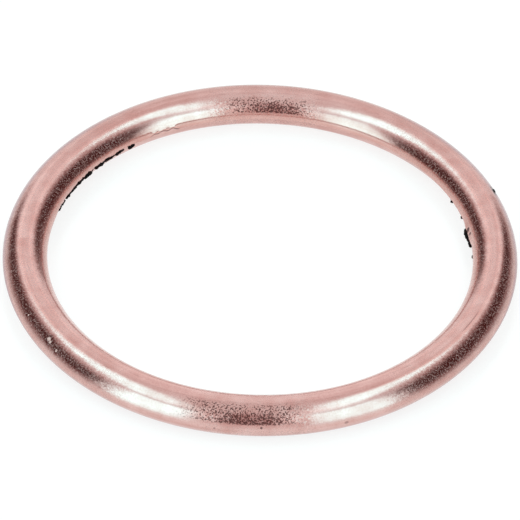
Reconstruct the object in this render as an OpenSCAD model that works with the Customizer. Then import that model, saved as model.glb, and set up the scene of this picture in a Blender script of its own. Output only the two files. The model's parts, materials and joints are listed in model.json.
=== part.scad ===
// Copper crush ring: one strip of soft copper sheet, rolled into a hollow ring.
// The strip's two long edges meet at the bore: the upper edge hangs down as a lip,
// and the lower edge is tucked in behind it. The ring stands on z = 0, round the Z axis.

/* [Ring] */
// Diameter of the hole, across the straight part of the lip
bore_d = 38; // [24:0.5:80]
// Width of the rolled section, from the bore to the outer rim
section_w = 4; // [3.2:0.1:6]
// Height of the rolled section, from the lower seat to the upper seat
section_h = 3.5; // [2.8:0.1:5]
// Fullness of the section's rounding: 2 is an ellipse, and less comes nearer to a diamond
fullness = 1.7; // [1.5:0.05:2.4]
// Width of the narrow flat that touches the mating face, the same on both seats
seat_w = 0.4; // [0.2:0.05:0.8]

/* [Sheet and seam] */
// Thickness of the copper sheet
sheet_t = 0.3; // [0.2:0.02:0.4]
// Gap between the lip and the edge that is tucked in behind it
seam_gap = 0.1; // [0.06:0.01:0.16]
// Height of the straight part of the lip
lip_h = 0.3; // [0.25:0.05:0.6]
// How far the lip hangs below the middle of the section
lip_drop = 0.1; // [0:0.05:0.25]
// Fullness of the lower bore side, where the sheet turns in behind the lip
turn_in_fullness = 2; // [1.6:0.05:2.4]
// How far the tucked edge reaches above the straight lip, in degrees round the section
lap_turn = 26; // [20:1:40]

/* [Hidden] */
// Half the section, and the radius of the circle through the middle of it
half_w = section_w / 2;
half_h = section_h / 2;
mean_r = bore_d / 2 + half_w;
// How far the tucked edge lies behind the face of the lip
tuck_depth = sheet_t + seam_gap;
// Heights of the lip's straight part, measured from the middle of the section
lip_low = -lip_drop;
lip_high = lip_h - lip_drop;
// Distance from the middle of the section to the edge of each seat's flat
seat_edge = seat_w / 2;
// Straight pieces that draw each quarter of the section, and pieces round the ring
quarter_steps = 12;
ring_steps = 144;

// A station is a place on the outer face of the strip and the direction out of the sheet there.
// Places are measured from the middle of the section: away from the bore, then up.

// A power that keeps the sign of its base
function signed_pow(base, power) = sign(base) * pow(abs(base), power);

// One station on a rounded quarter of the section, at an angle from the outward direction
function on_quarter(centre, wide, high, full, angle) =
    let (
        along = 2 / full,
        place = [wide * signed_pow(cos(angle), along), high * signed_pow(sin(angle), along)],
        out = [signed_pow(cos(angle), 2 - along) / wide, signed_pow(sin(angle), 2 - along) / high]
    )
    [centre + place, out / norm(out)];

// Upper bore side, from the straight lip up to the upper seat
function bore_top(angle) =
    on_quarter([-seat_edge, lip_high], half_w - seat_edge, half_h - lip_high, fullness, angle);

// Outer rim, above and below
function rim(angle) =
    on_quarter([seat_edge, 0], half_w - seat_edge, half_h, fullness, angle);

// Lower bore side, from the lower seat up to where the sheet goes in behind the lip
function turn_in(angle) =
    on_quarter([-seat_edge, lip_low], half_w - seat_edge - tuck_depth, half_h + lip_low, turn_in_fullness, angle);

// Angle of a step on the way from one angle, a quarter turn taking quarter_steps
function step_angle(from, to, i) = from + (to - from) * i / quarter_steps;

// The tucked edge is straight: it starts level with the top of the straight lip,
// and ends one gap below the inside of the sheet above it
lap_start = [-half_w + tuck_depth, lip_high];
lap_above = bore_top(180 - lap_turn);
lap_end = lap_above[0] - tuck_depth * lap_above[1];
lap_run = (lap_end - lap_start) / norm(lap_end - lap_start);

// The strip from the end of the lip, over the top and round the rim, to the end of the tuck
stations = concat(
    [[[-half_w, lip_low], [-1, 0]]],
    [for (i = [0:quarter_steps]) bore_top(step_angle(180, 90, i))],
    [for (i = [0:2 * quarter_steps]) rim(step_angle(90, 0, i))],
    [for (i = [0:quarter_steps]) turn_in(step_angle(270, 180, i))],
    [[lap_start, [-1, 0]], [lap_end, [-lap_run.y, lap_run.x]]]
);

// Points of the strip at a depth below its outer face
function face(depth) = [for (s = stations) s[0] - depth * s[1]];

// A list with its order turned round
function turned_round(list) = [for (i = [len(list) - 1:-1:0]) list[i]];

// Cut through the rolled strip, with the middle of the section at the origin
module sheet_section() {
    polygon(concat(face(0), turned_round(face(sheet_t))));
}

// The whole ring, rolled from one strip
module crush_ring() {
    color("#d4a39a")
        rotate_extrude($fn = ring_steps)
            translate([mean_r, half_h])
                sheet_section();
}

crush_ring();
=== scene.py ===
"""A rolled copper crush ring on a pale floor, in the light of a small photo tent.

The ring is one strip of sheet swept round the Z axis, with a torn lip at its bore.
Soot sits in the seam behind the lip, where the lip has torn open.
"""
import json
import math
from functools import partial

import bpy
from mathutils import Matrix, Vector


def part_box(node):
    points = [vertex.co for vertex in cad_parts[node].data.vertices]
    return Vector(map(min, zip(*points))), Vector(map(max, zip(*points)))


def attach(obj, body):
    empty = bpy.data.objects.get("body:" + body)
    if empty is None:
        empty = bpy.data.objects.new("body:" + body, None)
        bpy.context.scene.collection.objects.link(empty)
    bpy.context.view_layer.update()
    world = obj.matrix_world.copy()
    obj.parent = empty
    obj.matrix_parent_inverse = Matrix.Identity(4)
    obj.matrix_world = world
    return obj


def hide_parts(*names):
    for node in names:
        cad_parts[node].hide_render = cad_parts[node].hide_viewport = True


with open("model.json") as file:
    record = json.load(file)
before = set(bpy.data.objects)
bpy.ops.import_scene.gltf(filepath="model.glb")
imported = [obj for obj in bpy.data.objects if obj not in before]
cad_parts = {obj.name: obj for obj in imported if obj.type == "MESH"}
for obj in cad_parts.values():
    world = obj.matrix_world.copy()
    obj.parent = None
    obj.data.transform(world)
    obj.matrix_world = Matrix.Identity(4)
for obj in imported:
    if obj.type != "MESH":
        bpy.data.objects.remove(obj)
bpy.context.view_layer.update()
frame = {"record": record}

MM = 0.001

# Sizes of the ring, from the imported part
ring_low, ring_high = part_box("crush_ring")
bore_mount = next(m for m in frame["record"]["mounts"] if m["name"] == "bore")
BORE_R = bore_mount["dims"]["r_mm"] * MM
OUTER_R = ring_high.x
HALF_W = (OUTER_R - BORE_R) / 2
HALF_H = (ring_high.z - ring_low.z) / 2
MEAN_R = BORE_R + HALF_W
MID_Z = ring_low.z + HALF_H

# Sizes of the sheet and its seam, as in the part
SHEET_T = 0.3 * MM
SEAM_GAP = 0.1 * MM
SEAT_EDGE = 0.2 * MM
LIP_LOW = -0.1 * MM
LIP_HIGH = 0.2 * MM
FULLNESS = 1.7
TURN_IN_FULLNESS = 2.0
LAP_TURN = 26
TUCK_DEPTH = SHEET_T + SEAM_GAP
# Radius of the sheared corners at the end of the lip
LIP_CORNER = 0.07 * MM

# Stations beside the lip where rolling has softened the bend, and passes that soften it
SOFT_STATIONS = 14
SOFT_PASSES = 4

# Steps of the mesh: round the ring, in each quarter of the section, and along the straight lip
RING_STEPS = 900
QUARTER_STEPS = 18
LIP_STEPS = 4
# The hidden inside of the sheet keeps one station in this many
INSIDE_STRIDE = 4


def linear(hex_colour):
    """Linear red, green, blue and alpha of an sRGB hex colour."""
    channels = [int(hex_colour[i:i + 2], 16) / 255 for i in (1, 3, 5)]
    return [c / 12.92 if c <= 0.04045 else ((c + 0.055) / 1.055) ** 2.4 for c in channels] + [1.0]


def add(tree, kind, inputs=None, **settings):
    """Adds a node, with its settings and with values or links on its inputs."""
    made = tree.nodes.new(kind)
    for name, value in settings.items():
        setattr(made, name, value)
    for key, value in (inputs or {}).items():
        if isinstance(value, bpy.types.Node):
            value = value.outputs[0]
        if isinstance(value, bpy.types.NodeSocket):
            tree.links.new(value, made.inputs[key])
        else:
            made.inputs[key].default_value = value
    return made


# The rise or the fall of a window that has none: both lie beyond every value
NO_RISE = (-2.0, -1.0)
NO_FALL = (2.0, 3.0)


def window(tree, value, rise_start, rise_end, fall_start, fall_end):
    """1 between two smooth slopes and 0 outside them."""
    slopes = [
        add(tree, "ShaderNodeMapRange", {"Value": value, "From Min": start, "From Max": end},
            interpolation_type="SMOOTHSTEP")
        for start, end in ((rise_start, rise_end), (fall_start, fall_end))
    ]
    return add(tree, "ShaderNodeMath", {0: slopes[0], 1: slopes[1]}, operation="SUBTRACT")


def spot(tree, place, centre, core, radius):
    """1 round a point as far as the core, and 0 from the radius on."""
    away = add(tree, "ShaderNodeVectorMath", {0: place, 1: centre}, operation="DISTANCE")
    return window(tree, away.outputs["Value"], *NO_RISE, core, radius)


# The section of the rolled strip

def signed_power(base, power):
    """A power that keeps the sign of its base."""
    return math.copysign(abs(base) ** power, base)


def on_quarter(centre, wide, high, full, degrees):
    """Place and outward direction on a rounded quarter of the section."""
    cosine = round(math.cos(math.radians(degrees)), 9)
    sine = round(math.sin(math.radians(degrees)), 9)
    along = 2 / full
    place = Vector((wide * signed_power(cosine, along), high * signed_power(sine, along)))
    out = Vector((signed_power(cosine, 2 - along) / wide, signed_power(sine, 2 - along) / high))
    return Vector(centre) + place, out.normalized()


def steps(start, end, count):
    """Evenly spaced values from start to end, both included."""
    return [start + (end - start) * i / count for i in range(count + 1)]


def strip_stations():
    """Places and outward directions along the strip, from the lip over the top to the tucked edge."""
    wide = HALF_W - SEAT_EDGE
    out_of_bore = Vector((-1, 0))
    lip = [(Vector((-HALF_W, z)), out_of_bore) for z in steps(LIP_LOW + LIP_CORNER, LIP_HIGH, LIP_STEPS)]
    top_args = ((-SEAT_EDGE, LIP_HIGH), wide, HALF_H - LIP_HIGH, FULLNESS)
    rim_args = ((SEAT_EDGE, 0), wide, HALF_H, FULLNESS)
    turn_args = ((-SEAT_EDGE, LIP_LOW), wide - TUCK_DEPTH, HALF_H + LIP_LOW, TURN_IN_FULLNESS)
    top = [on_quarter(*top_args, d) for d in steps(180, 90, QUARTER_STEPS)]
    rim = [on_quarter(*rim_args, d) for d in steps(90, -90, 2 * QUARTER_STEPS)]
    turn_in = [on_quarter(*turn_args, d) for d in steps(270, 180, QUARTER_STEPS)]
    lap_start = Vector((-HALF_W + TUCK_DEPTH, LIP_HIGH))
    above, above_out = on_quarter(*top_args, 180 - LAP_TURN)
    lap_end = above - TUCK_DEPTH * above_out
    lap_run = (lap_end - lap_start).normalized()
    lap = [(lap_start, out_of_bore), (lap_end, Vector((-lap_run.y, lap_run.x)))]
    bore_side = lip + top[1:]
    for _ in range(SOFT_PASSES):
        for i in range(1, SOFT_STATIONS):
            (before, _), (here, out), (after, _) = bore_side[i - 1:i + 2]
            bore_side[i] = ((before + 2 * here + after) / 4, out)
    return bore_side + rim + turn_in + lap


def lip_end():
    """The sheared end of the lip, with both corners rounded, from its inside to its outside."""
    inside = Vector((-HALF_W + SHEET_T - LIP_CORNER, LIP_LOW + LIP_CORNER))
    outside = Vector((-HALF_W + LIP_CORNER, LIP_LOW + LIP_CORNER))
    corners = [(inside, d) for d in (0, -45, -90)] + [(outside, d) for d in (-90, -135)]
    return [
        c + LIP_CORNER * Vector((math.cos(math.radians(d)), math.sin(math.radians(d))))
        for c, d in corners
    ]


def section_outline():
    """Mesh of the strip's cut outline, with each point's distance along the strip from the lip."""
    stations = strip_stations()
    runs = [0.0]
    for (a, _), (b, _) in zip(stations, stations[1:]):
        runs.append(runs[-1] + (b - a).length)
    outside = [(place, run) for (place, _), run in zip(stations, runs)]
    inside = [(place - SHEET_T * out, run) for (place, out), run in zip(stations, runs)]
    last = len(inside) - 1
    kept = [i for i in range(last, 0, -1) if i % INSIDE_STRIDE == 0 or i in (last, last - 1, 1, 2)]
    outline = outside + [inside[i] for i in kept] + [(place, 0.0) for place in lip_end()]
    mesh = bpy.data.meshes.new("strip_section")
    # The sweep turns the outline's second axis downwards, so heights go in with their sign changed
    mesh.from_pydata(
        [(place.x, -place.y, 0) for place, _ in outline],
        [(i, (i + 1) % len(outline)) for i in range(len(outline))],
        [],
    )
    from_lip = mesh.attributes.new("from_lip", "FLOAT", "POINT")
    from_lip.data.foreach_set("value", [run for _, run in outline])
    return mesh


def on_ring(turn, run):
    """Point on the ring's outside, from its turn in degrees and its distance along the strip from the lip."""
    stations = [place for place, _ in strip_stations()]
    reached = 0.0
    for start, end in zip(stations, stations[1:]):
        length = (end - start).length
        if length and reached + length >= run:
            place = start.lerp(end, (run - reached) / length)
            break
        reached += length
    radius = MEAN_R + place.x
    angle = math.radians(turn)
    return Vector((radius * math.cos(angle), radius * math.sin(angle), MID_Z + place.y))


# The copper

# In the values below, a span is the four edges of a window, a run is a distance along the strip from the lip,
# and a turn is in degrees round the axis from +X

# Size of the crystals that show on the annealed sheet, and their tilt in each direction. Real crystals are
# finer: these, the dull specks and the specks of painted dark reflection are drawn as coarse as they need to
# be to show
GRAIN_SIZE = 0.14 * MM
GRAIN_TILT = 0.024
# Added tilt where the strip was worked most, nearest and farthest from the camera, and the distances from the
# ring's middle to its sides where that starts to fade and is gone
WORKED_TILT = 0.014
WORKED_FULL = 4 * MM
WORKED_GONE = 8.5 * MM
# Span of the same distance where the metal was wiped clean, and the shares of tilt and specks that this took
CLEAN_SPAN = (4 * MM, 5.5 * MM, 10.5 * MM, 13.5 * MM)
CLEAN_TILT_SHARE = 0.75
CLEAN_SPECK_SHARE = 0.9
# Roughness of the metal
DULLNESS = 0.17
# Size of the dull specks between the crystals, the noise where one starts and is full, the most that one
# takes from the gloss, and how far it turns the colour red
SPECK_SIZE = 0.15 * MM
SPECK_START = 0.46
SPECK_FULL = 0.72
SPECK_SHARE = 0.45
SPECK_REDNESS = 0.15
# Size of the faint blotches on the sheet, length and width of the soft streaks that the rolls left, and the
# sums of their two noises that give the darkest and the palest copper
BLOTCH_SIZE = 1.6 * MM
STREAK_LENGTH = 20 * MM
STREAK_WIDTH = 0.75 * MM
SHADE_DARK = 0.7
SHADE_PALE = 1.3
# Painted shade on the far outside, a darker reflection there: rise towards the far side, span of runs, and
# strength
FAR_SHADE_RISE = (8 * MM, 17 * MM)
FAR_SHADE_RUN = (2.5 * MM, 3.3 * MM, 5.5 * MM, 6.5 * MM)
FAR_SHADE_STRENGTH = 0.4
# Painted shade on the outer wall, following its edge at the sides: how far up the wall it climbs for each
# length towards the far side, span of runs at the left and right, fall towards the far side, and strength
WALL_SLANT = 0.0875
WALL_RUN = (4.85 * MM, 5.25 * MM, 6.0 * MM, 6.8 * MM)
WALL_FALL = (13 * MM, 20 * MM)
WALL_SHADE_STRENGTH = 0.8
# Warmth of the lip: where it falls along the strip, and its strength
WARM_FALL = (0.5 * MM, 1.4 * MM)
WARM_STRENGTH = 0.2
# Scuffs along the crest: length, width, noise where one starts and is full, span of runs, and strength
SCUFF_LENGTH = 1.5 * MM
SCUFF_WIDTH = 0.14 * MM
SCUFF_RISE = (0.64, 0.74)
SCUFF_RUN = (1.9 * MM, 2.4 * MM, 3.8 * MM, 4.2 * MM)
SCUFF_STRENGTH = 0.25
# A scratch on the right: its run, half its width, span of turns, and strength
SCRATCH_RUN = 3.26 * MM
SCRATCH_HALF = 0.09 * MM
SCRATCH_TURN = (-33.0, -31.0, -26.0, -23.0)
SCRATCH_STRENGTH = 0.45
# Painted shade at the edge of the lip where it gapes, standing in for the shadow in the gap: where it falls
# along the strip, span of turns, and strength
GAPE_SHADE_FALL = (0.03 * MM, 0.07 * MM)
GAPE_SHADE_TURN = (113.0, 114.0, 121.0, 123.0)
GAPE_SHADE_STRENGTH = 0.9
# Painted dark reflection of the tent's dark front opening: size of its specks, and its patches with their
# cores, as spans in millimetres: of the run and of X on the near side, and then of both on the far side
REFLECTION_SPECK_SIZE = 0.14 * MM
REFLECTION_PATCHES = ((3.1, 3.8, 5.2, 5.5), (-8.0, -4.5, 2.5, 5.0), (0.55, 0.75, 1.7, 2.6), (-5.0, -2.0, 3.2, 6.0))
REFLECTION_CORES = ((4.2, 4.7, 5.2, 5.45), (-4.5, -2.2, 1.2, 3.5), (0.55, 0.75, 1.1, 1.7), (-1.8, 0.6, 2.2, 4.2))
# Noise where a speck of the painted reflection starts to fade and is gone, how much a patch and its core each
# take from the noise, the strength of the specks, and that of the painted dark film between them on the near
# and the far side
REFLECTION_SPECK_FALL = (0.31, 0.39)
REFLECTION_SPECK_GAIN = 0.1
REFLECTION_SPECK_STRENGTH = 0.82
REFLECTION_FILM_NEAR = 0.15
REFLECTION_FILM_FAR = 0.03
# Painted highlights on the dents, pale spots that stand in for their glints: turn, run and radius of each,
# the share of its radius that is palest, what that takes from the gloss, and the least gloss that is left
DENT_GLINTS = [
    (214.5, 4.6 * MM, 0.27 * MM),
    (215.3, 4.72 * MM, 0.2 * MM),
    (218.1, 4.91 * MM, 0.17 * MM),
    (205.0, 4.7 * MM, 0.12 * MM),
]
GLINT_CORE = 0.4
GLINT_SHARE = 0.8
LEAST_GLOSS = 0.15
# Dark pits: turn, run, radius and strength of each, and the share of its radius that is darkest
PITS = [
    (271.0, 5.56 * MM, 0.15 * MM, 0.75),
    (260.7, 5.92 * MM, 0.15 * MM, 0.4),
    (290.0, 5.95 * MM, 0.24 * MM, 0.4),
    (21.0, 4.7 * MM, 0.32 * MM, 0.92),
    (22.0, 4.75 * MM, 0.4 * MM, 0.92),
    (23.0, 4.75 * MM, 0.36 * MM, 0.92),
    (11.8, 0.35 * MM, 0.3 * MM, 0.92),
    (9.8, 0.45 * MM, 0.2 * MM, 0.92),
]
PIT_CORE = 0.5
# Colours of the sheet at its darkest and its palest, and of what lies over it
COPPER_DARK = "#cc9b94"
COPPER_PALE = "#e1bab4"
SPECK_RED = "#c87a6e"
# Painted shade: a darker brown on the far outside, and a grey along the outer wall
FAR_SHADE_BROWN = "#b0857e"
WALL_SHADE_GREY = "#b08a8e"
# Painted highlight on the dents
GLINT_PINK = "#f2c8c0"
WARM_LIP = "#d99a89"
# Brown of the marks, which also carries the painted dark reflection and the painted shade in the lip's gap
MARK_BROWN = "#431c19"


def rolled_copper():
    """Annealed copper sheet, rolled and left bare.

    To the eye it is a satin pink metal. Fine dull specks show where it reflects something dark,
    and faint blotches and scuffs where it reflects something plain.
    """
    material = bpy.data.materials.new("rolled_copper_satin")
    material.use_nodes = True
    tree = material.node_tree
    node = partial(add, tree)
    shader = tree.nodes["Principled BSDF"]
    shader.inputs["Roughness"].default_value = DULLNESS

    place = node("ShaderNodeTexCoord").outputs["Object"]
    part = node("ShaderNodeSeparateXYZ", {0: place}).outputs
    run = node("ShaderNodeAttribute", attribute_name="from_lip").outputs["Fac"]
    angle = node("ShaderNodeMath", {0: part["Y"], 1: part["X"]}, operation="ARCTAN2")
    turn = node("ShaderNodeMath", {0: angle}, operation="DEGREES")
    off_middle = node("ShaderNodeMath", {0: part["X"]}, operation="ABSOLUTE")
    near = node("ShaderNodeMath", {0: part["Y"], 1: 0.0}, operation="LESS_THAN")

    # Each crystal leans its own way, more so where the strip was worked, and less where it was wiped clean
    worked = node(
        "ShaderNodeMapRange",
        {"Value": off_middle, "From Min": WORKED_FULL, "From Max": WORKED_GONE,
         "To Min": GRAIN_TILT + WORKED_TILT, "To Max": GRAIN_TILT},
        interpolation_type="SMOOTHSTEP",
    )
    clean = window(tree, off_middle, *CLEAN_SPAN)
    kept = node("ShaderNodeMath", {0: clean, 1: -CLEAN_TILT_SHARE, 2: 1.0}, operation="MULTIPLY_ADD")
    tilt = node("ShaderNodeMath", {0: worked, 1: kept}, operation="MULTIPLY")
    crystals = node("ShaderNodeTexVoronoi", {"Vector": place, "Scale": 1 / GRAIN_SIZE})
    # Colours from 0 to 1 become directions from -1 to 1
    ways = node("ShaderNodeVectorMath",
                {0: crystals.outputs["Color"], 1: (2.0, 2.0, 2.0), 2: (-1.0, -1.0, -1.0)},
                operation="MULTIPLY_ADD")
    lean = node("ShaderNodeVectorMath", {0: ways, "Scale": tilt}, operation="SCALE")
    normal = node("ShaderNodeNewGeometry").outputs["Normal"]
    leaning = node("ShaderNodeVectorMath", {0: normal, 1: lean}, operation="ADD")
    facet = node("ShaderNodeVectorMath", {0: leaning}, operation="NORMALIZE")
    tree.links.new(facet.outputs[0], shader.inputs["Normal"])

    # Specks and the painted highlights on the dents scatter the light that falls on them, so they have less
    # of the metal's gloss
    noise = node("ShaderNodeTexNoise", {"Vector": place, "Scale": 1 / SPECK_SIZE, "Detail": 1.0})
    speck = node("ShaderNodeMapRange", {"Value": noise, "From Min": SPECK_START, "From Max": SPECK_FULL})
    wiped = CLEAN_SPECK_SHARE * SPECK_SHARE
    dulled = node("ShaderNodeMath", {0: clean, 1: wiped, 2: -SPECK_SHARE}, operation="MULTIPLY_ADD")
    gloss = node("ShaderNodeMath", {0: speck, 1: dulled, 2: 1.0}, operation="MULTIPLY_ADD")
    glints = 0.0
    for glint_turn, glint_run, radius in DENT_GLINTS:
        glint = spot(tree, place, on_ring(glint_turn, glint_run), GLINT_CORE * radius, radius)
        glints = node("ShaderNodeMath", {0: glint, 1: glints}, operation="MAXIMUM")
    gloss = node("ShaderNodeMath", {0: glints, 1: -GLINT_SHARE, 2: gloss}, operation="MULTIPLY_ADD")
    gloss = node("ShaderNodeMath", {0: gloss, 1: LEAST_GLOSS}, operation="MAXIMUM")
    tree.links.new(gloss.outputs[0], shader.inputs["Metallic"])

    # Noise drawn out along the strip gives the streaks and the scuffs
    drawn_out = []
    for length, width in ((STREAK_LENGTH, STREAK_WIDTH), (SCUFF_LENGTH, SCUFF_WIDTH)):
        along = node("ShaderNodeMath", {0: angle, 1: MEAN_R / length}, operation="MULTIPLY")
        over = node("ShaderNodeMath", {0: run, 1: 1 / width}, operation="MULTIPLY")
        on_strip = node("ShaderNodeCombineXYZ", {"X": along, "Y": over})
        drawn_out.append(node("ShaderNodeTexNoise", {"Vector": on_strip, "Scale": 1.0, "Detail": 2.0}))
    streaks, scuffs = drawn_out

    # The colour varies in faint blotches and in soft streaks
    blotches = node("ShaderNodeTexNoise", {"Vector": place, "Scale": 1 / BLOTCH_SIZE, "Detail": 4.0})
    shade = node("ShaderNodeMath", {0: blotches, 1: streaks}, operation="ADD")
    shade = node("ShaderNodeMapRange", {"Value": shade, "From Min": SHADE_DARK, "From Max": SHADE_PALE})
    colour = node("ShaderNodeMix", {0: shade, 6: linear(COPPER_DARK), 7: linear(COPPER_PALE)},
                  data_type="RGBA")

    # Painted shade lies on the far outside, and on the outer wall, where it is lower on the near side
    far = window(tree, part["Y"], *FAR_SHADE_RISE, *NO_FALL)
    outside = window(tree, run, *FAR_SHADE_RUN)
    slanted = node("ShaderNodeMath", {0: part["Y"], 1: WALL_SLANT, 2: run}, operation="MULTIPLY_ADD")
    wall = window(tree, slanted, *WALL_RUN)
    wall_end = window(tree, part["Y"], *NO_RISE, *WALL_FALL)
    # The lip is warmer and darker in colour
    warm = window(tree, run, *NO_RISE, *WARM_FALL)

    # Painted dark reflection lies in fine specks, in a patch on the near side and in one on the far side,
    # each with a denser core
    fields = []
    for near_run, near_x, far_run, far_x in (REFLECTION_PATCHES, REFLECTION_CORES):
        sides = []
        for runs, places in ((near_run, near_x), (far_run, far_x)):
            on_run = window(tree, run, *(edge * MM for edge in runs))
            on_x = window(tree, part["X"], *(edge * MM for edge in places))
            sides.append(node("ShaderNodeMath", {0: on_run, 1: on_x}, operation="MULTIPLY"))
        fields.append(node("ShaderNodeMix", {0: near, 2: sides[1], 3: sides[0]}, data_type="FLOAT"))
    reflection_patch, core = fields
    density = node("ShaderNodeMath", {0: reflection_patch, 1: core}, operation="ADD")
    fine = node("ShaderNodeTexNoise", {"Vector": place, "Scale": 1 / REFLECTION_SPECK_SIZE, "Detail": 1.0})
    thinned = node("ShaderNodeMath", {0: density, 1: -REFLECTION_SPECK_GAIN, 2: fine}, operation="MULTIPLY_ADD")
    reflection_dots = window(tree, thinned, *NO_RISE, *REFLECTION_SPECK_FALL)
    reflection_film = node("ShaderNodeMath", {0: near, 1: REFLECTION_FILM_NEAR - REFLECTION_FILM_FAR, 2: REFLECTION_FILM_FAR}, operation="MULTIPLY_ADD")

    # Dark marks: scuffs on the crest, the painted dark reflection in specks and film, a scratch, painted
    # shade at the edge of the gaping lip, and pits
    scuff = window(tree, scuffs, *SCUFF_RISE, *NO_FALL)
    crest = window(tree, run, *SCUFF_RUN)
    scratch_edges = (SCRATCH_RUN - SCRATCH_HALF, SCRATCH_RUN, SCRATCH_RUN, SCRATCH_RUN + SCRATCH_HALF)
    scratch = window(tree, run, *scratch_edges)
    scratched = window(tree, turn, *SCRATCH_TURN)
    edge = window(tree, run, *NO_RISE, *GAPE_SHADE_FALL)
    gape = window(tree, turn, *GAPE_SHADE_TURN)
    stains = [
        (scuff, crest, SCUFF_STRENGTH),
        # Painted dark reflection: specks and film
        (reflection_dots, reflection_patch, REFLECTION_SPECK_STRENGTH),
        (reflection_film, core, 1.0),
        (scratch, scratched, SCRATCH_STRENGTH),
        # Painted shade in the gap under the lip
        (edge, gape, GAPE_SHADE_STRENGTH),
    ]
    for pit_turn, pit_run, radius, strength in PITS:
        pit = spot(tree, place, on_ring(pit_turn, pit_run), PIT_CORE * radius, radius)
        stains.append((pit, 1.0, strength))
    marks = 0.0
    for shape, reach, strength in stains:
        mark = node("ShaderNodeMath", {0: shape, 1: reach}, operation="MULTIPLY")
        mark = node("ShaderNodeMath", {0: mark, 1: strength}, operation="MULTIPLY")
        marks = node("ShaderNodeMath", {0: marks, 1: mark}, operation="MAXIMUM")

    # What lies over the sheet's colour, from the lowest to the topmost. A reach of 1 is everywhere
    layers = [
        (speck, 1.0, SPECK_REDNESS, SPECK_RED),
        # Painted shade on the far outside and along the outer wall
        (far, outside, FAR_SHADE_STRENGTH, FAR_SHADE_BROWN),
        (wall, wall_end, WALL_SHADE_STRENGTH, WALL_SHADE_GREY),
        # Painted highlights on the dents
        (glints, 1.0, 1.0, GLINT_PINK),
        (warm, 1.0, WARM_STRENGTH, WARM_LIP),
        (marks, 1.0, 1.0, MARK_BROWN),
    ]
    for shape, reach, strength, tint in layers:
        share = node("ShaderNodeMath", {0: shape, 1: reach}, operation="MULTIPLY")
        share = node("ShaderNodeMath", {0: share, 1: strength}, operation="MULTIPLY")
        colour = node("ShaderNodeMix", {0: share, 6: colour.outputs[2], 7: linear(tint)}, data_type="RGBA")
    tree.links.new(colour.outputs[2], shader.inputs["Base Color"])
    return material


# The ring, swept round the axis

# The middle of a noise of 0 to 1, and how far it mostly strays from there
NOISE_MIDDLE = 0.5
NOISE_SWING = 0.25
# How far the lip is torn up and down: everywhere, and at most in the torn stretch on the left
LIP_WAVER = 0.03 * MM
TEAR_DEPTH = 0.13 * MM
TOOTH_LENGTH = 0.6 * MM
# Turns of the torn stretch, how much shorter the lip is there, and how far it is bent back
TORN_TURN = (122.0, 130.0, 158.0, 168.0)
TORN_SHORT = 0.15 * MM
TORN_BACK = 0.06 * MM
# Turns where the lip gapes, its lift there, the length of its waves, and their height as a share of the lift
GAPE_TURN = (113.5, 115.5, 120.5, 122.5)
GAPE_LIFT = 0.2 * MM
GAPE_WAVE = 1.0 * MM
WAVE_SHARE = 0.4
# Turns where the lip bulges into the bore on the right, and how far
BULGE_TURN = (5.0, 10.0, 13.0, 17.0)
BULGE = 0.12 * MM
# Part of the strip, from the lip, that bends with it, and the share of that part that bends in full
LIP_REACH = 0.55 * MM
LIP_FULL = 0.1
# Dents: turn, run, radius and depth of each
DENTS = [
    (214.7, 4.62 * MM, 0.42 * MM, 0.07 * MM),
    (218.1, 4.91 * MM, 0.3 * MM, 0.04 * MM),
    (205.0, 4.7 * MM, 0.3 * MM, 0.03 * MM),
    (22.4, 5.0 * MM, 0.4 * MM, 0.12 * MM),
    (290.0, 6.2 * MM, 0.3 * MM, 0.04 * MM),
    (12.0, 3.1 * MM, 0.5 * MM, 0.02 * MM),
]


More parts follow.
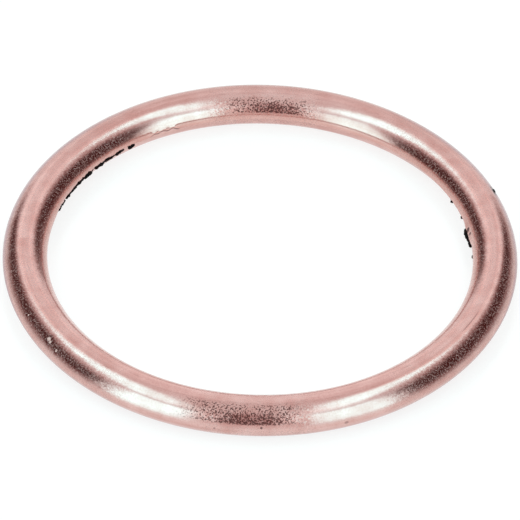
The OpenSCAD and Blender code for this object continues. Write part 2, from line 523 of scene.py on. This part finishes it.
def ring_tree(copper):
    """Sweeps the strip's section round the axis, tears its lip and dents it."""
    tree = bpy.data.node_groups.new("rolled_ring", "GeometryNodeTree")
    node = partial(add, tree)
    sockets = tree.interface
    sockets.new_socket("Section", in_out="INPUT", socket_type="NodeSocketGeometry")
    sockets.new_socket("Mean Radius", in_out="INPUT", socket_type="NodeSocketFloat")
    sockets.new_socket("Middle Height", in_out="INPUT", socket_type="NodeSocketFloat")
    sockets.new_socket("Steps", in_out="INPUT", socket_type="NodeSocketInt")
    sockets.new_socket("Ring", in_out="OUTPUT", socket_type="NodeSocketGeometry")
    given = node("NodeGroupInput").outputs
    path = node("GeometryNodeCurvePrimitiveCircle",
                {"Resolution": given["Steps"], "Radius": given["Mean Radius"]})
    profile = node("GeometryNodeMeshToCurve", {"Mesh": given["Section"]})
    swept = node("GeometryNodeCurveToMesh", {"Curve": path, "Profile Curve": profile})
    lift = node("ShaderNodeCombineXYZ", {"Z": given["Middle Height"]})
    placed = node("GeometryNodeSetPosition", {"Geometry": swept, "Offset": lift})

    # Direction from the axis, and turn round it in degrees from +X
    place = node("GeometryNodeInputPosition")
    part = node("ShaderNodeSeparateXYZ", {0: place}).outputs
    flat = node("ShaderNodeCombineXYZ", {"X": part["X"], "Y": part["Y"]})
    outward = node("ShaderNodeVectorMath", {0: flat}, operation="NORMALIZE")
    turn = node("ShaderNodeMath", {0: part["Y"], 1: part["X"]}, operation="ARCTAN2")
    turn = node("ShaderNodeMath", {0: turn}, operation="DEGREES")

    # The lip: torn on the left, gaping in waves beside that, and bulging into the bore on the right
    teeth = node("ShaderNodeTexNoise", {"Vector": outward, "Scale": BORE_R / TOOTH_LENGTH, "Detail": 2.0})
    teeth = node("ShaderNodeMath", {0: teeth, 1: NOISE_MIDDLE}, operation="SUBTRACT")
    torn = window(tree, turn, *TORN_TURN)
    tear_swing = TEAR_DEPTH / NOISE_SWING
    waver_swing = LIP_WAVER / NOISE_SWING
    depth = node("ShaderNodeMath", {0: torn, 1: tear_swing, 2: waver_swing}, operation="MULTIPLY_ADD")
    short = node("ShaderNodeMath", {0: torn, 1: TORN_SHORT}, operation="MULTIPLY")
    tear = node("ShaderNodeMath", {0: teeth, 1: depth, 2: short}, operation="MULTIPLY_ADD")
    waves_per_degree = math.radians(1) * BORE_R / GAPE_WAVE
    wave = node("ShaderNodeMath", {0: turn, 1: 2 * math.pi * waves_per_degree}, operation="MULTIPLY")
    wave = node("ShaderNodeMath", {0: wave}, operation="SINE")
    wave_lift = WAVE_SHARE * GAPE_LIFT
    wave = node("ShaderNodeMath", {0: wave, 1: wave_lift, 2: GAPE_LIFT}, operation="MULTIPLY_ADD")
    gape = window(tree, turn, *GAPE_TURN)
    rise = node("ShaderNodeMath", {0: gape, 1: wave, 2: tear}, operation="MULTIPLY_ADD")
    rise = node("ShaderNodeCombineXYZ", {"Z": rise})
    bent_back = node("ShaderNodeMath", {0: torn, 1: TORN_BACK}, operation="MULTIPLY")
    bulge = window(tree, turn, *BULGE_TURN)
    bulge = node("ShaderNodeMath", {0: bulge, 1: -BULGE, 2: bent_back}, operation="MULTIPLY_ADD")
    sideways = node("ShaderNodeVectorMath", {0: outward, "Scale": bulge}, operation="SCALE")
    bend = node("ShaderNodeVectorMath", {0: rise, 1: sideways}, operation="ADD")
    from_lip = node("GeometryNodeInputNamedAttribute", {"Name": "from_lip"}, data_type="FLOAT")
    near_lip = window(tree, from_lip, *NO_RISE, LIP_FULL * LIP_REACH, LIP_REACH)
    bend = node("ShaderNodeVectorMath", {0: bend, "Scale": near_lip}, operation="SCALE")
    torn_lip = node("GeometryNodeSetPosition", {"Geometry": placed, "Offset": bend})

    sink = 0.0
    for dent_turn, dent_run, radius, dent_depth in DENTS:
        dent = spot(tree, place, on_ring(dent_turn, dent_run), 0.0, radius)
        sink = node("ShaderNodeMath", {0: dent, 1: -dent_depth, 2: sink}, operation="MULTIPLY_ADD")
    normal = node("GeometryNodeInputNormal")
    push = node("ShaderNodeVectorMath", {0: normal, "Scale": sink}, operation="SCALE")
    dented = node("GeometryNodeSetPosition", {"Geometry": torn_lip, "Offset": push})
    smooth = node("GeometryNodeSetShadeSmooth", {"Geometry": dented})
    real = node("GeometryNodeRealizeInstances", {"Geometry": smooth})
    dressed = node("GeometryNodeSetMaterial", {"Geometry": real, "Material": copper})
    node("NodeGroupOutput", {"Ring": dressed})
    return tree


# The soot in the seam

# Crusts below the lip: start and end in degrees of turn, thickness, reach into the bore, and height
# above the others where the lip is torn short
CRUSTS = [
    (1.9, 3.5, 0.14 * MM, 0.02 * MM, 0.0),
    (6.4, 11.2, 0.24 * MM, 0.12 * MM, 0.0),
    (9.0, 14.3, 0.38 * MM, 0.18 * MM, 0.0),
    (18.3, 19.5, 0.15 * MM, 0.02 * MM, 0.0),
    (25.3, 26.6, 0.12 * MM, 0.0, 0.04 * MM),
    (127.2, 129.6, 0.32 * MM, -0.03 * MM, 0.08 * MM),
    (130.9, 134.8, 0.2 * MM, -0.04 * MM, 0.1 * MM),
    (134.0, 138.6, 0.24 * MM, -0.04 * MM, 0.1 * MM),
    (137.6, 142.0, 0.35 * MM, -0.04 * MM, 0.1 * MM),
    (142.6, 147.0, 0.37 * MM, -0.04 * MM, 0.1 * MM),
    (145.8, 151.4, 0.21 * MM, -0.04 * MM, 0.1 * MM),
    (150.4, 153.8, 0.16 * MM, -0.04 * MM, 0.1 * MM),
    (153.2, 156.8, 0.16 * MM, -0.04 * MM, 0.1 * MM),
    (157.0, 159.4, 0.16 * MM, -0.04 * MM, 0.09 * MM),
    (159.7, 162.3, 0.15 * MM, -0.03 * MM, 0.07 * MM),
]
# A sooty burr on the outer rim: its turn in degrees, its distance along the strip, and half its size
BURR_PLACE = (22.2, 4.85 * MM)
BURR_SIZE = (0.3 * MM, 0.06 * MM, 0.05 * MM)
# Where the crusts sit: just behind the face of the lip, and below its end
CRUST_R = BORE_R + 0.08 * MM
CRUST_Z = MID_Z + LIP_LOW - 0.12 * MM
# Half the depth of a crust, and the share of its reach that adds to it
CRUST_HALF_DEPTH = 0.12 * MM
REACH_SHARE = 0.5
# Half the height of a crust: the share of its thickness that counts, and what is hidden behind the lip
THICKNESS_SHARE = 0.65
HIDDEN_HEIGHT = 0.06 * MM
# Size and height of the lumps on the crusts, and what the noise is multiplied by to reach that height
LUMP_SIZE = 0.3 * MM
LUMP_HEIGHT = 0.13 * MM
LUMP_SWELL = 3.0
# Look of the soot: roughness, shine, the noise where its brown patches start and are full, and its colours
SOOT_ROUGHNESS = 0.95
SOOT_SHINE = 0.15
BROWN_RISE = (0.5, 0.72)
SOOT_BLACK = "#0c0606"
SOOT_BROWN = "#361c17"


def black_soot():
    """Burnt oil and soot, caked: a nearly black crust with brown patches and no shine."""
    material = bpy.data.materials.new("soot_caked")
    material.use_nodes = True
    tree = material.node_tree
    node = partial(add, tree)
    shader = tree.nodes["Principled BSDF"]
    shader.inputs["Roughness"].default_value = SOOT_ROUGHNESS
    shader.inputs["Specular IOR Level"].default_value = SOOT_SHINE
    place = node("ShaderNodeTexCoord").outputs["Object"]
    patches = node("ShaderNodeTexNoise", {"Vector": place, "Scale": 1 / LUMP_SIZE, "Detail": 3.0})
    brown = window(tree, patches, *BROWN_RISE, *NO_FALL)
    colour = node("ShaderNodeMix", {0: brown, 6: linear(SOOT_BLACK), 7: linear(SOOT_BROWN)}, data_type="RGBA")
    tree.links.new(colour.outputs[2], shader.inputs["Base Color"])
    return material


def crust_points():
    """Mesh of one point for each crust and one for the burr, with half its length, depth and height."""
    mesh = bpy.data.meshes.new("crust_points")
    points = []
    for start, end, _, reach, above in CRUSTS:
        middle = math.radians((start + end) / 2)
        radius = CRUST_R - reach
        points.append((radius * math.cos(middle), radius * math.sin(middle), CRUST_Z + above))
    points.append(on_ring(*BURR_PLACE))
    mesh.from_pydata(points, [], [])
    size = mesh.attributes.new("half_size", "FLOAT_VECTOR", "POINT")
    for point, (start, end, thick, reach, _) in zip(size.data, CRUSTS):
        half_length = math.radians(end - start) / 2 * CRUST_R
        half_depth = CRUST_HALF_DEPTH + REACH_SHARE * reach
        point.vector = (half_length, half_depth, THICKNESS_SHARE * thick + HIDDEN_HEIGHT)
    size.data[len(CRUSTS)].vector = BURR_SIZE
    return mesh


def soot_tree(soot):
    """Puts a lumpy crust on each point, laid along the seam."""
    tree = bpy.data.node_groups.new("seam_soot", "GeometryNodeTree")
    node = partial(add, tree)
    sockets = tree.interface
    sockets.new_socket("Points", in_out="INPUT", socket_type="NodeSocketGeometry")
    sockets.new_socket("Lump Size", in_out="INPUT", socket_type="NodeSocketFloat")
    sockets.new_socket("Lump Height", in_out="INPUT", socket_type="NodeSocketFloat")
    sockets.new_socket("Soot", in_out="OUTPUT", socket_type="NodeSocketGeometry")
    given = node("NodeGroupInput").outputs
    place = node("GeometryNodeInputPosition")
    part = node("ShaderNodeSeparateXYZ", {0: place}).outputs
    turn = node("ShaderNodeMath", {0: part["Y"], 1: part["X"]}, operation="ARCTAN2")
    along = node("ShaderNodeMath", {0: turn, 1: math.pi / 2}, operation="ADD")
    lay = node("ShaderNodeCombineXYZ", {"Z": along})
    size = node("GeometryNodeInputNamedAttribute", {"Name": "half_size"}, data_type="FLOAT_VECTOR")
    ball = node("GeometryNodeMeshIcoSphere", {"Radius": 1.0, "Subdivisions": 4})
    crusts = node("GeometryNodeInstanceOnPoints",
                  {"Points": given["Points"], "Instance": ball, "Rotation": lay, "Scale": size})
    real = node("GeometryNodeRealizeInstances", {"Geometry": crusts})
    density = node("ShaderNodeMath", {0: 1.0, 1: given["Lump Size"]}, operation="DIVIDE")
    lumps = node("ShaderNodeTexNoise", {"Vector": place, "Scale": density, "Detail": 2.0})
    lumps = node("ShaderNodeMath", {0: lumps, 1: NOISE_MIDDLE}, operation="SUBTRACT")
    swell = node("ShaderNodeMath", {0: given["Lump Height"], 1: LUMP_SWELL}, operation="MULTIPLY")
    lumps = node("ShaderNodeMath", {0: lumps, 1: swell}, operation="MULTIPLY")
    normal = node("GeometryNodeInputNormal")
    push = node("ShaderNodeVectorMath", {0: normal, "Scale": lumps}, operation="SCALE")
    lumpy = node("GeometryNodeSetPosition", {"Geometry": real, "Offset": push})
    dressed = node("GeometryNodeSetMaterial", {"Geometry": lumpy, "Material": soot})
    node("NodeGroupOutput", {"Soot": dressed})
    return tree


def bake(name, mesh, tree, values):
    """Runs a tree on a mesh with its named inputs, and returns the result as a plain mesh object."""
    maker = bpy.data.objects.new(name + "_maker", mesh)
    bpy.context.scene.collection.objects.link(maker)
    modifier = maker.modifiers.new(tree.name, "NODES")
    modifier.node_group = tree
    for item in tree.interface.items_tree:
        if item.in_out == "INPUT" and item.name in values:
            modifier[item.identifier] = values[item.name]
    graph = bpy.context.evaluated_depsgraph_get()
    result = bpy.data.meshes.new_from_object(maker.evaluated_get(graph), depsgraph=graph)
    bpy.data.objects.remove(maker)
    result.name = name
    piece = bpy.data.objects.new(name, result)
    bpy.context.scene.collection.objects.link(piece)
    return piece


ring_values = {"Mean Radius": MEAN_R, "Middle Height": MID_Z, "Steps": RING_STEPS}
ring = bake("copper_ring", section_outline(), ring_tree(rolled_copper()), ring_values)
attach(ring, "root")
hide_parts("crush_ring")
soot_values = {"Lump Size": LUMP_SIZE, "Lump Height": LUMP_HEIGHT}
crust = bake("seam_soot", crust_points(), soot_tree(black_soot()), soot_values)
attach(crust, "root")


# The camera, at the photograph's viewing angle

# Image size in pixels, and pixels that the ring's mean radius takes at its middle
IMAGE = 520
PIXELS_PER_MEAN_R = 235.1
# Where the middle of the ring falls, in pixels right of and below the image's middle
CENTRE_RIGHT = 0.06
CENTRE_DOWN = -2.9
# Height above the floor and roll to the side, both in degrees
CAMERA_ELEVATION = 41.46
CAMERA_ROLL = 1.11
CAMERA_DISTANCE = 40 * MEAN_R
# Width of the sensor in millimetres, and the nearest and farthest that the camera sees in metres
SENSOR = 36.0
CLIP_NEAR = 0.01
CLIP_FAR = 20.0


def place_camera():
    """A long lens that looks down on the ring from the -Y side, with a slight roll."""
    data = bpy.data.cameras.new("camera")
    data.sensor_width = SENSOR
    half_frame = IMAGE / 2 / PIXELS_PER_MEAN_R * MEAN_R
    data.lens = SENSOR / 2 * CAMERA_DISTANCE / half_frame
    data.clip_start = CLIP_NEAR
    data.clip_end = CLIP_FAR
    elevation = math.radians(CAMERA_ELEVATION)
    back = Vector((0, -math.cos(elevation), math.sin(elevation)))
    level = (-back).to_track_quat("-Z", "Y").to_matrix()
    turned = level @ Matrix.Rotation(math.radians(CAMERA_ROLL), 3, "Z")
    pixel = MEAN_R / PIXELS_PER_MEAN_R
    aim = Vector((0, 0, MID_Z)) - turned @ Vector((CENTRE_RIGHT, -CENTRE_DOWN, 0)) * pixel
    camera = bpy.data.objects.new("camera", data)
    camera.matrix_world = Matrix.Translation(aim + back * CAMERA_DISTANCE) @ turned.to_4x4()
    bpy.context.scene.collection.objects.link(camera)
    bpy.context.scene.camera = camera


# The light tent

# Linear light of the tent's cloth, its back wall and its roof, and of the room seen through its openings
TENT_COLOUR = (1.0, 1.0, 1.0, 1.0)
BACK_COLOUR = (1.02, 1.02, 1.02, 1.0)
ROOF_COLOUR = (0.88, 0.87, 0.87, 1.0)
FRONT_COLOUR = (0.57, 0.405, 0.4, 1.0)
SIDE_EDGE_COLOUR = (0.5, 0.36, 0.355, 1.0)
SIDE_COLOUR = (0.08, 0.02, 0.018, 1.0)
# Linear light of the cloth where side and roof meet, and of the cool softboxes, which take the copper's pink
# out of the highlights
EAVES_COLOUR = (1.15, 1.13, 1.12, 1.0)
SOFTBOX_COLOUR = (1.46, 2.55, 2.66, 1.0)
# Linear light of the bar between each softbox and the strip above it
BAR_COLOUR = (0.92, 1.1, 1.14, 1.0)
# How much higher the opening and the strip of light at the right side are
RIGHT_HEIGHT = 1.33
# Spans of the tent's parts by turn from the camera, positive to the right, and by height, in degrees
BACK_TURN = (140.0, 170.0, 190.0, 200.0)
ROOF_HEIGHT = (42.0, 60.0, 100.0, 110.0)
FRONT_TURN = (-21.0, -11.0, 3.0, 13.0)
FRONT_HEIGHT = (4.0, 14.0, 45.0, 80.0)
LEFT_BOX_TURN = (-66.0, -55.0, -36.0, -21.0)
RIGHT_BOX_TURN = (18.0, 28.0, 50.0, 63.0)
BOX_HEIGHT = (-4.0, 2.0, 44.0, 56.0)
LEFT_CLOTH_TURN = (-72.0, -60.0, -50.0, -45.0)
RIGHT_CLOTH_TURN = (45.0, 50.0, 56.0, 68.0)
BAR_TURN = (20.0, 30.0, 62.0, 80.0)
BAR_HEIGHT = (41.0, 45.0, 47.0, 51.0)
# Spans on the side walls, up and towards the back, as shares of the wall's distance
SIDE_UP = (-0.12, 0.24, 0.5, 0.92)
SIDE_EDGE_UP = (-0.3, 0.08, 0.74, 1.2)
SIDE_BACK = (-1.1, -0.3, 1.2, 2.3)
STRIP_UP = (1.1, 1.4, 2.3, 3.6)
STRIP_BACK = (-2.2, -0.3, 0.3, 1.5)
# Least part across, so that the way to a side wall stays finite
LEAST_ACROSS = 0.001


def light_tent():
    """White tent with two softboxes in front, a strip over each side, and a dark room round it.

    It is open at both sides and where the camera looks in. A thin bar parts each softbox from its strip.
    """
    world = bpy.data.worlds.new("tent")
    bpy.context.scene.world = world
    world.use_nodes = True
    tree = world.node_tree
    node = partial(add, tree)

    direction = node("ShaderNodeTexCoord").outputs["Generated"]
    part = node("ShaderNodeSeparateXYZ", {0: direction}).outputs
    # Turn from the camera's direction, and height
    forward = node("ShaderNodeMath", {0: part["Y"], 1: -1.0}, operation="MULTIPLY")
    turn = node("ShaderNodeMath", {0: part["X"], 1: forward}, operation="ARCTAN2")
    turn = node("ShaderNodeMath", {0: turn}, operation="DEGREES")
    turned = node("ShaderNodeMath", {0: turn}, operation="ABSOLUTE")
    height = node("ShaderNodeMath", {0: part["Z"]}, operation="ARCSINE")
    height = node("ShaderNodeMath", {0: height}, operation="DEGREES")
    # Where a line in this direction meets a side wall, as shares of the wall's distance
    across = node("ShaderNodeMath", {0: part["X"]}, operation="ABSOLUTE")
    across = node("ShaderNodeMath", {0: across, 1: LEAST_ACROSS}, operation="MAXIMUM")
    wall_back = node("ShaderNodeMath", {0: part["Y"], 1: across}, operation="DIVIDE")
    wall_up = node("ShaderNodeMath", {0: part["Z"], 1: across}, operation="DIVIDE")
    on_right = node("ShaderNodeMath", {0: part["X"], 1: 0.0}, operation="GREATER_THAN")
    share = node("ShaderNodeMath", {0: on_right, 1: RIGHT_HEIGHT - 1, 2: 1.0}, operation="MULTIPLY_ADD")
    side_up = node("ShaderNodeMath", {0: wall_up, 1: share}, operation="DIVIDE")

    back = window(tree, turned, *BACK_TURN)
    roof = window(tree, height, *ROOF_HEIGHT)
    front_wide = window(tree, turn, *FRONT_TURN)
    front_high = window(tree, height, *FRONT_HEIGHT)
    front = node("ShaderNodeMath", {0: front_wide, 1: front_high}, operation="MULTIPLY")
    side_high = window(tree, side_up, *SIDE_UP)
    side_edge_high = window(tree, side_up, *SIDE_EDGE_UP)
    side_long = window(tree, wall_back, *SIDE_BACK)
    side = node("ShaderNodeMath", {0: side_high, 1: side_long}, operation="MULTIPLY")
    side_edge = node("ShaderNodeMath", {0: side_edge_high, 1: side_long}, operation="MULTIPLY")
    strip_high = window(tree, side_up, *STRIP_UP)
    strip_long = window(tree, wall_back, *STRIP_BACK)
    strip = node("ShaderNodeMath", {0: strip_high, 1: strip_long}, operation="MULTIPLY")
    # Cloth frames each softbox, so that the dark openings don't touch it
    box_high = window(tree, height, *BOX_HEIGHT)
    framed = []
    for left, right in ((LEFT_BOX_TURN, RIGHT_BOX_TURN), (LEFT_CLOTH_TURN, RIGHT_CLOTH_TURN)):
        left_wide = window(tree, turn, *left)
        right_wide = window(tree, turn, *right)
        both = node("ShaderNodeMath", {0: left_wide, 1: right_wide}, operation="ADD")
        framed.append(node("ShaderNodeMath", {0: both, 1: box_high}, operation="MULTIPLY"))
    box, box_cloth = framed
    bright = node("ShaderNodeMath", {0: box, 1: strip}, operation="MAXIMUM")
    bar_high = window(tree, height, *BAR_HEIGHT)
    bar_long = window(tree, turned, *BAR_TURN)
    bar = node("ShaderNodeMath", {0: bar_high, 1: bar_long}, operation="MULTIPLY")

    colour = TENT_COLOUR
    cloth = [(back, BACK_COLOUR), (roof, ROOF_COLOUR), (strip_high, EAVES_COLOUR)]
    openings = [(front, FRONT_COLOUR), (side_edge, SIDE_EDGE_COLOUR), (side, SIDE_COLOUR)]
    lights = [(box_cloth, TENT_COLOUR), (bright, SOFTBOX_COLOUR), (bar, BAR_COLOUR)]
    for region, light in cloth + openings + lights:
        colour = node("ShaderNodeMix", {0: region, 6: colour, 7: light}, data_type="RGBA").outputs[2]
    tree.links.new(colour, tree.nodes["Background"].inputs["Color"])


# The floor

# Size of the board in metres, its colour, and its glow to the camera and in the metal
FLOOR_SIZE = 12.0
BOARD_COLOUR = "#8c8a88"
BOARD_GLOW = 0.8
# Roughness of its gloss, and the index that says how the gloss grows towards a slanted view
BOARD_ROUGHNESS = 0.2
BOARD_IOR = 1.3
WHITE = "#ffffff"


def pale_floor():
    """Glossy white board: white to the eye and in the metal, with a light shadow under the ring."""
    material = bpy.data.materials.new("white_board_glossy")
    material.use_nodes = True
    tree = material.node_tree
    tree.nodes.remove(tree.nodes["Principled BSDF"])
    seen = add(tree, "ShaderNodeLightPath").outputs
    shown = 0.0
    for ray in ("Is Camera Ray", "Is Glossy Ray", "Is Transmission Ray"):
        shown = add(tree, "ShaderNodeMath", {0: shown, 1: seen[ray]}, operation="MAXIMUM")
    glow = add(tree, "ShaderNodeMath", {0: shown, 1: BOARD_GLOW}, operation="MULTIPLY")
    board = add(tree, "ShaderNodeBsdfDiffuse", {"Color": linear(BOARD_COLOUR)})
    light = add(tree, "ShaderNodeEmission", {"Color": linear(WHITE), "Strength": glow})
    matt = add(tree, "ShaderNodeAddShader", {0: board, 1: light})
    gloss = add(tree, "ShaderNodeBsdfGlossy", {"Color": linear(WHITE), "Roughness": BOARD_ROUGHNESS})
    slant = add(tree, "ShaderNodeFresnel", {"IOR": BOARD_IOR})
    both = add(tree, "ShaderNodeMixShader", {0: slant, 1: matt, 2: gloss})
    tree.links.new(both.outputs[0], tree.nodes["Material Output"].inputs["Surface"])
    bpy.ops.mesh.primitive_plane_add(size=FLOOR_SIZE)
    floor = bpy.context.object
    floor.name = "floor"
    floor.data.materials.append(material)


place_camera()
light_tent()
pale_floor()
bpy.context.scene.view_settings.view_transform = "Standard"
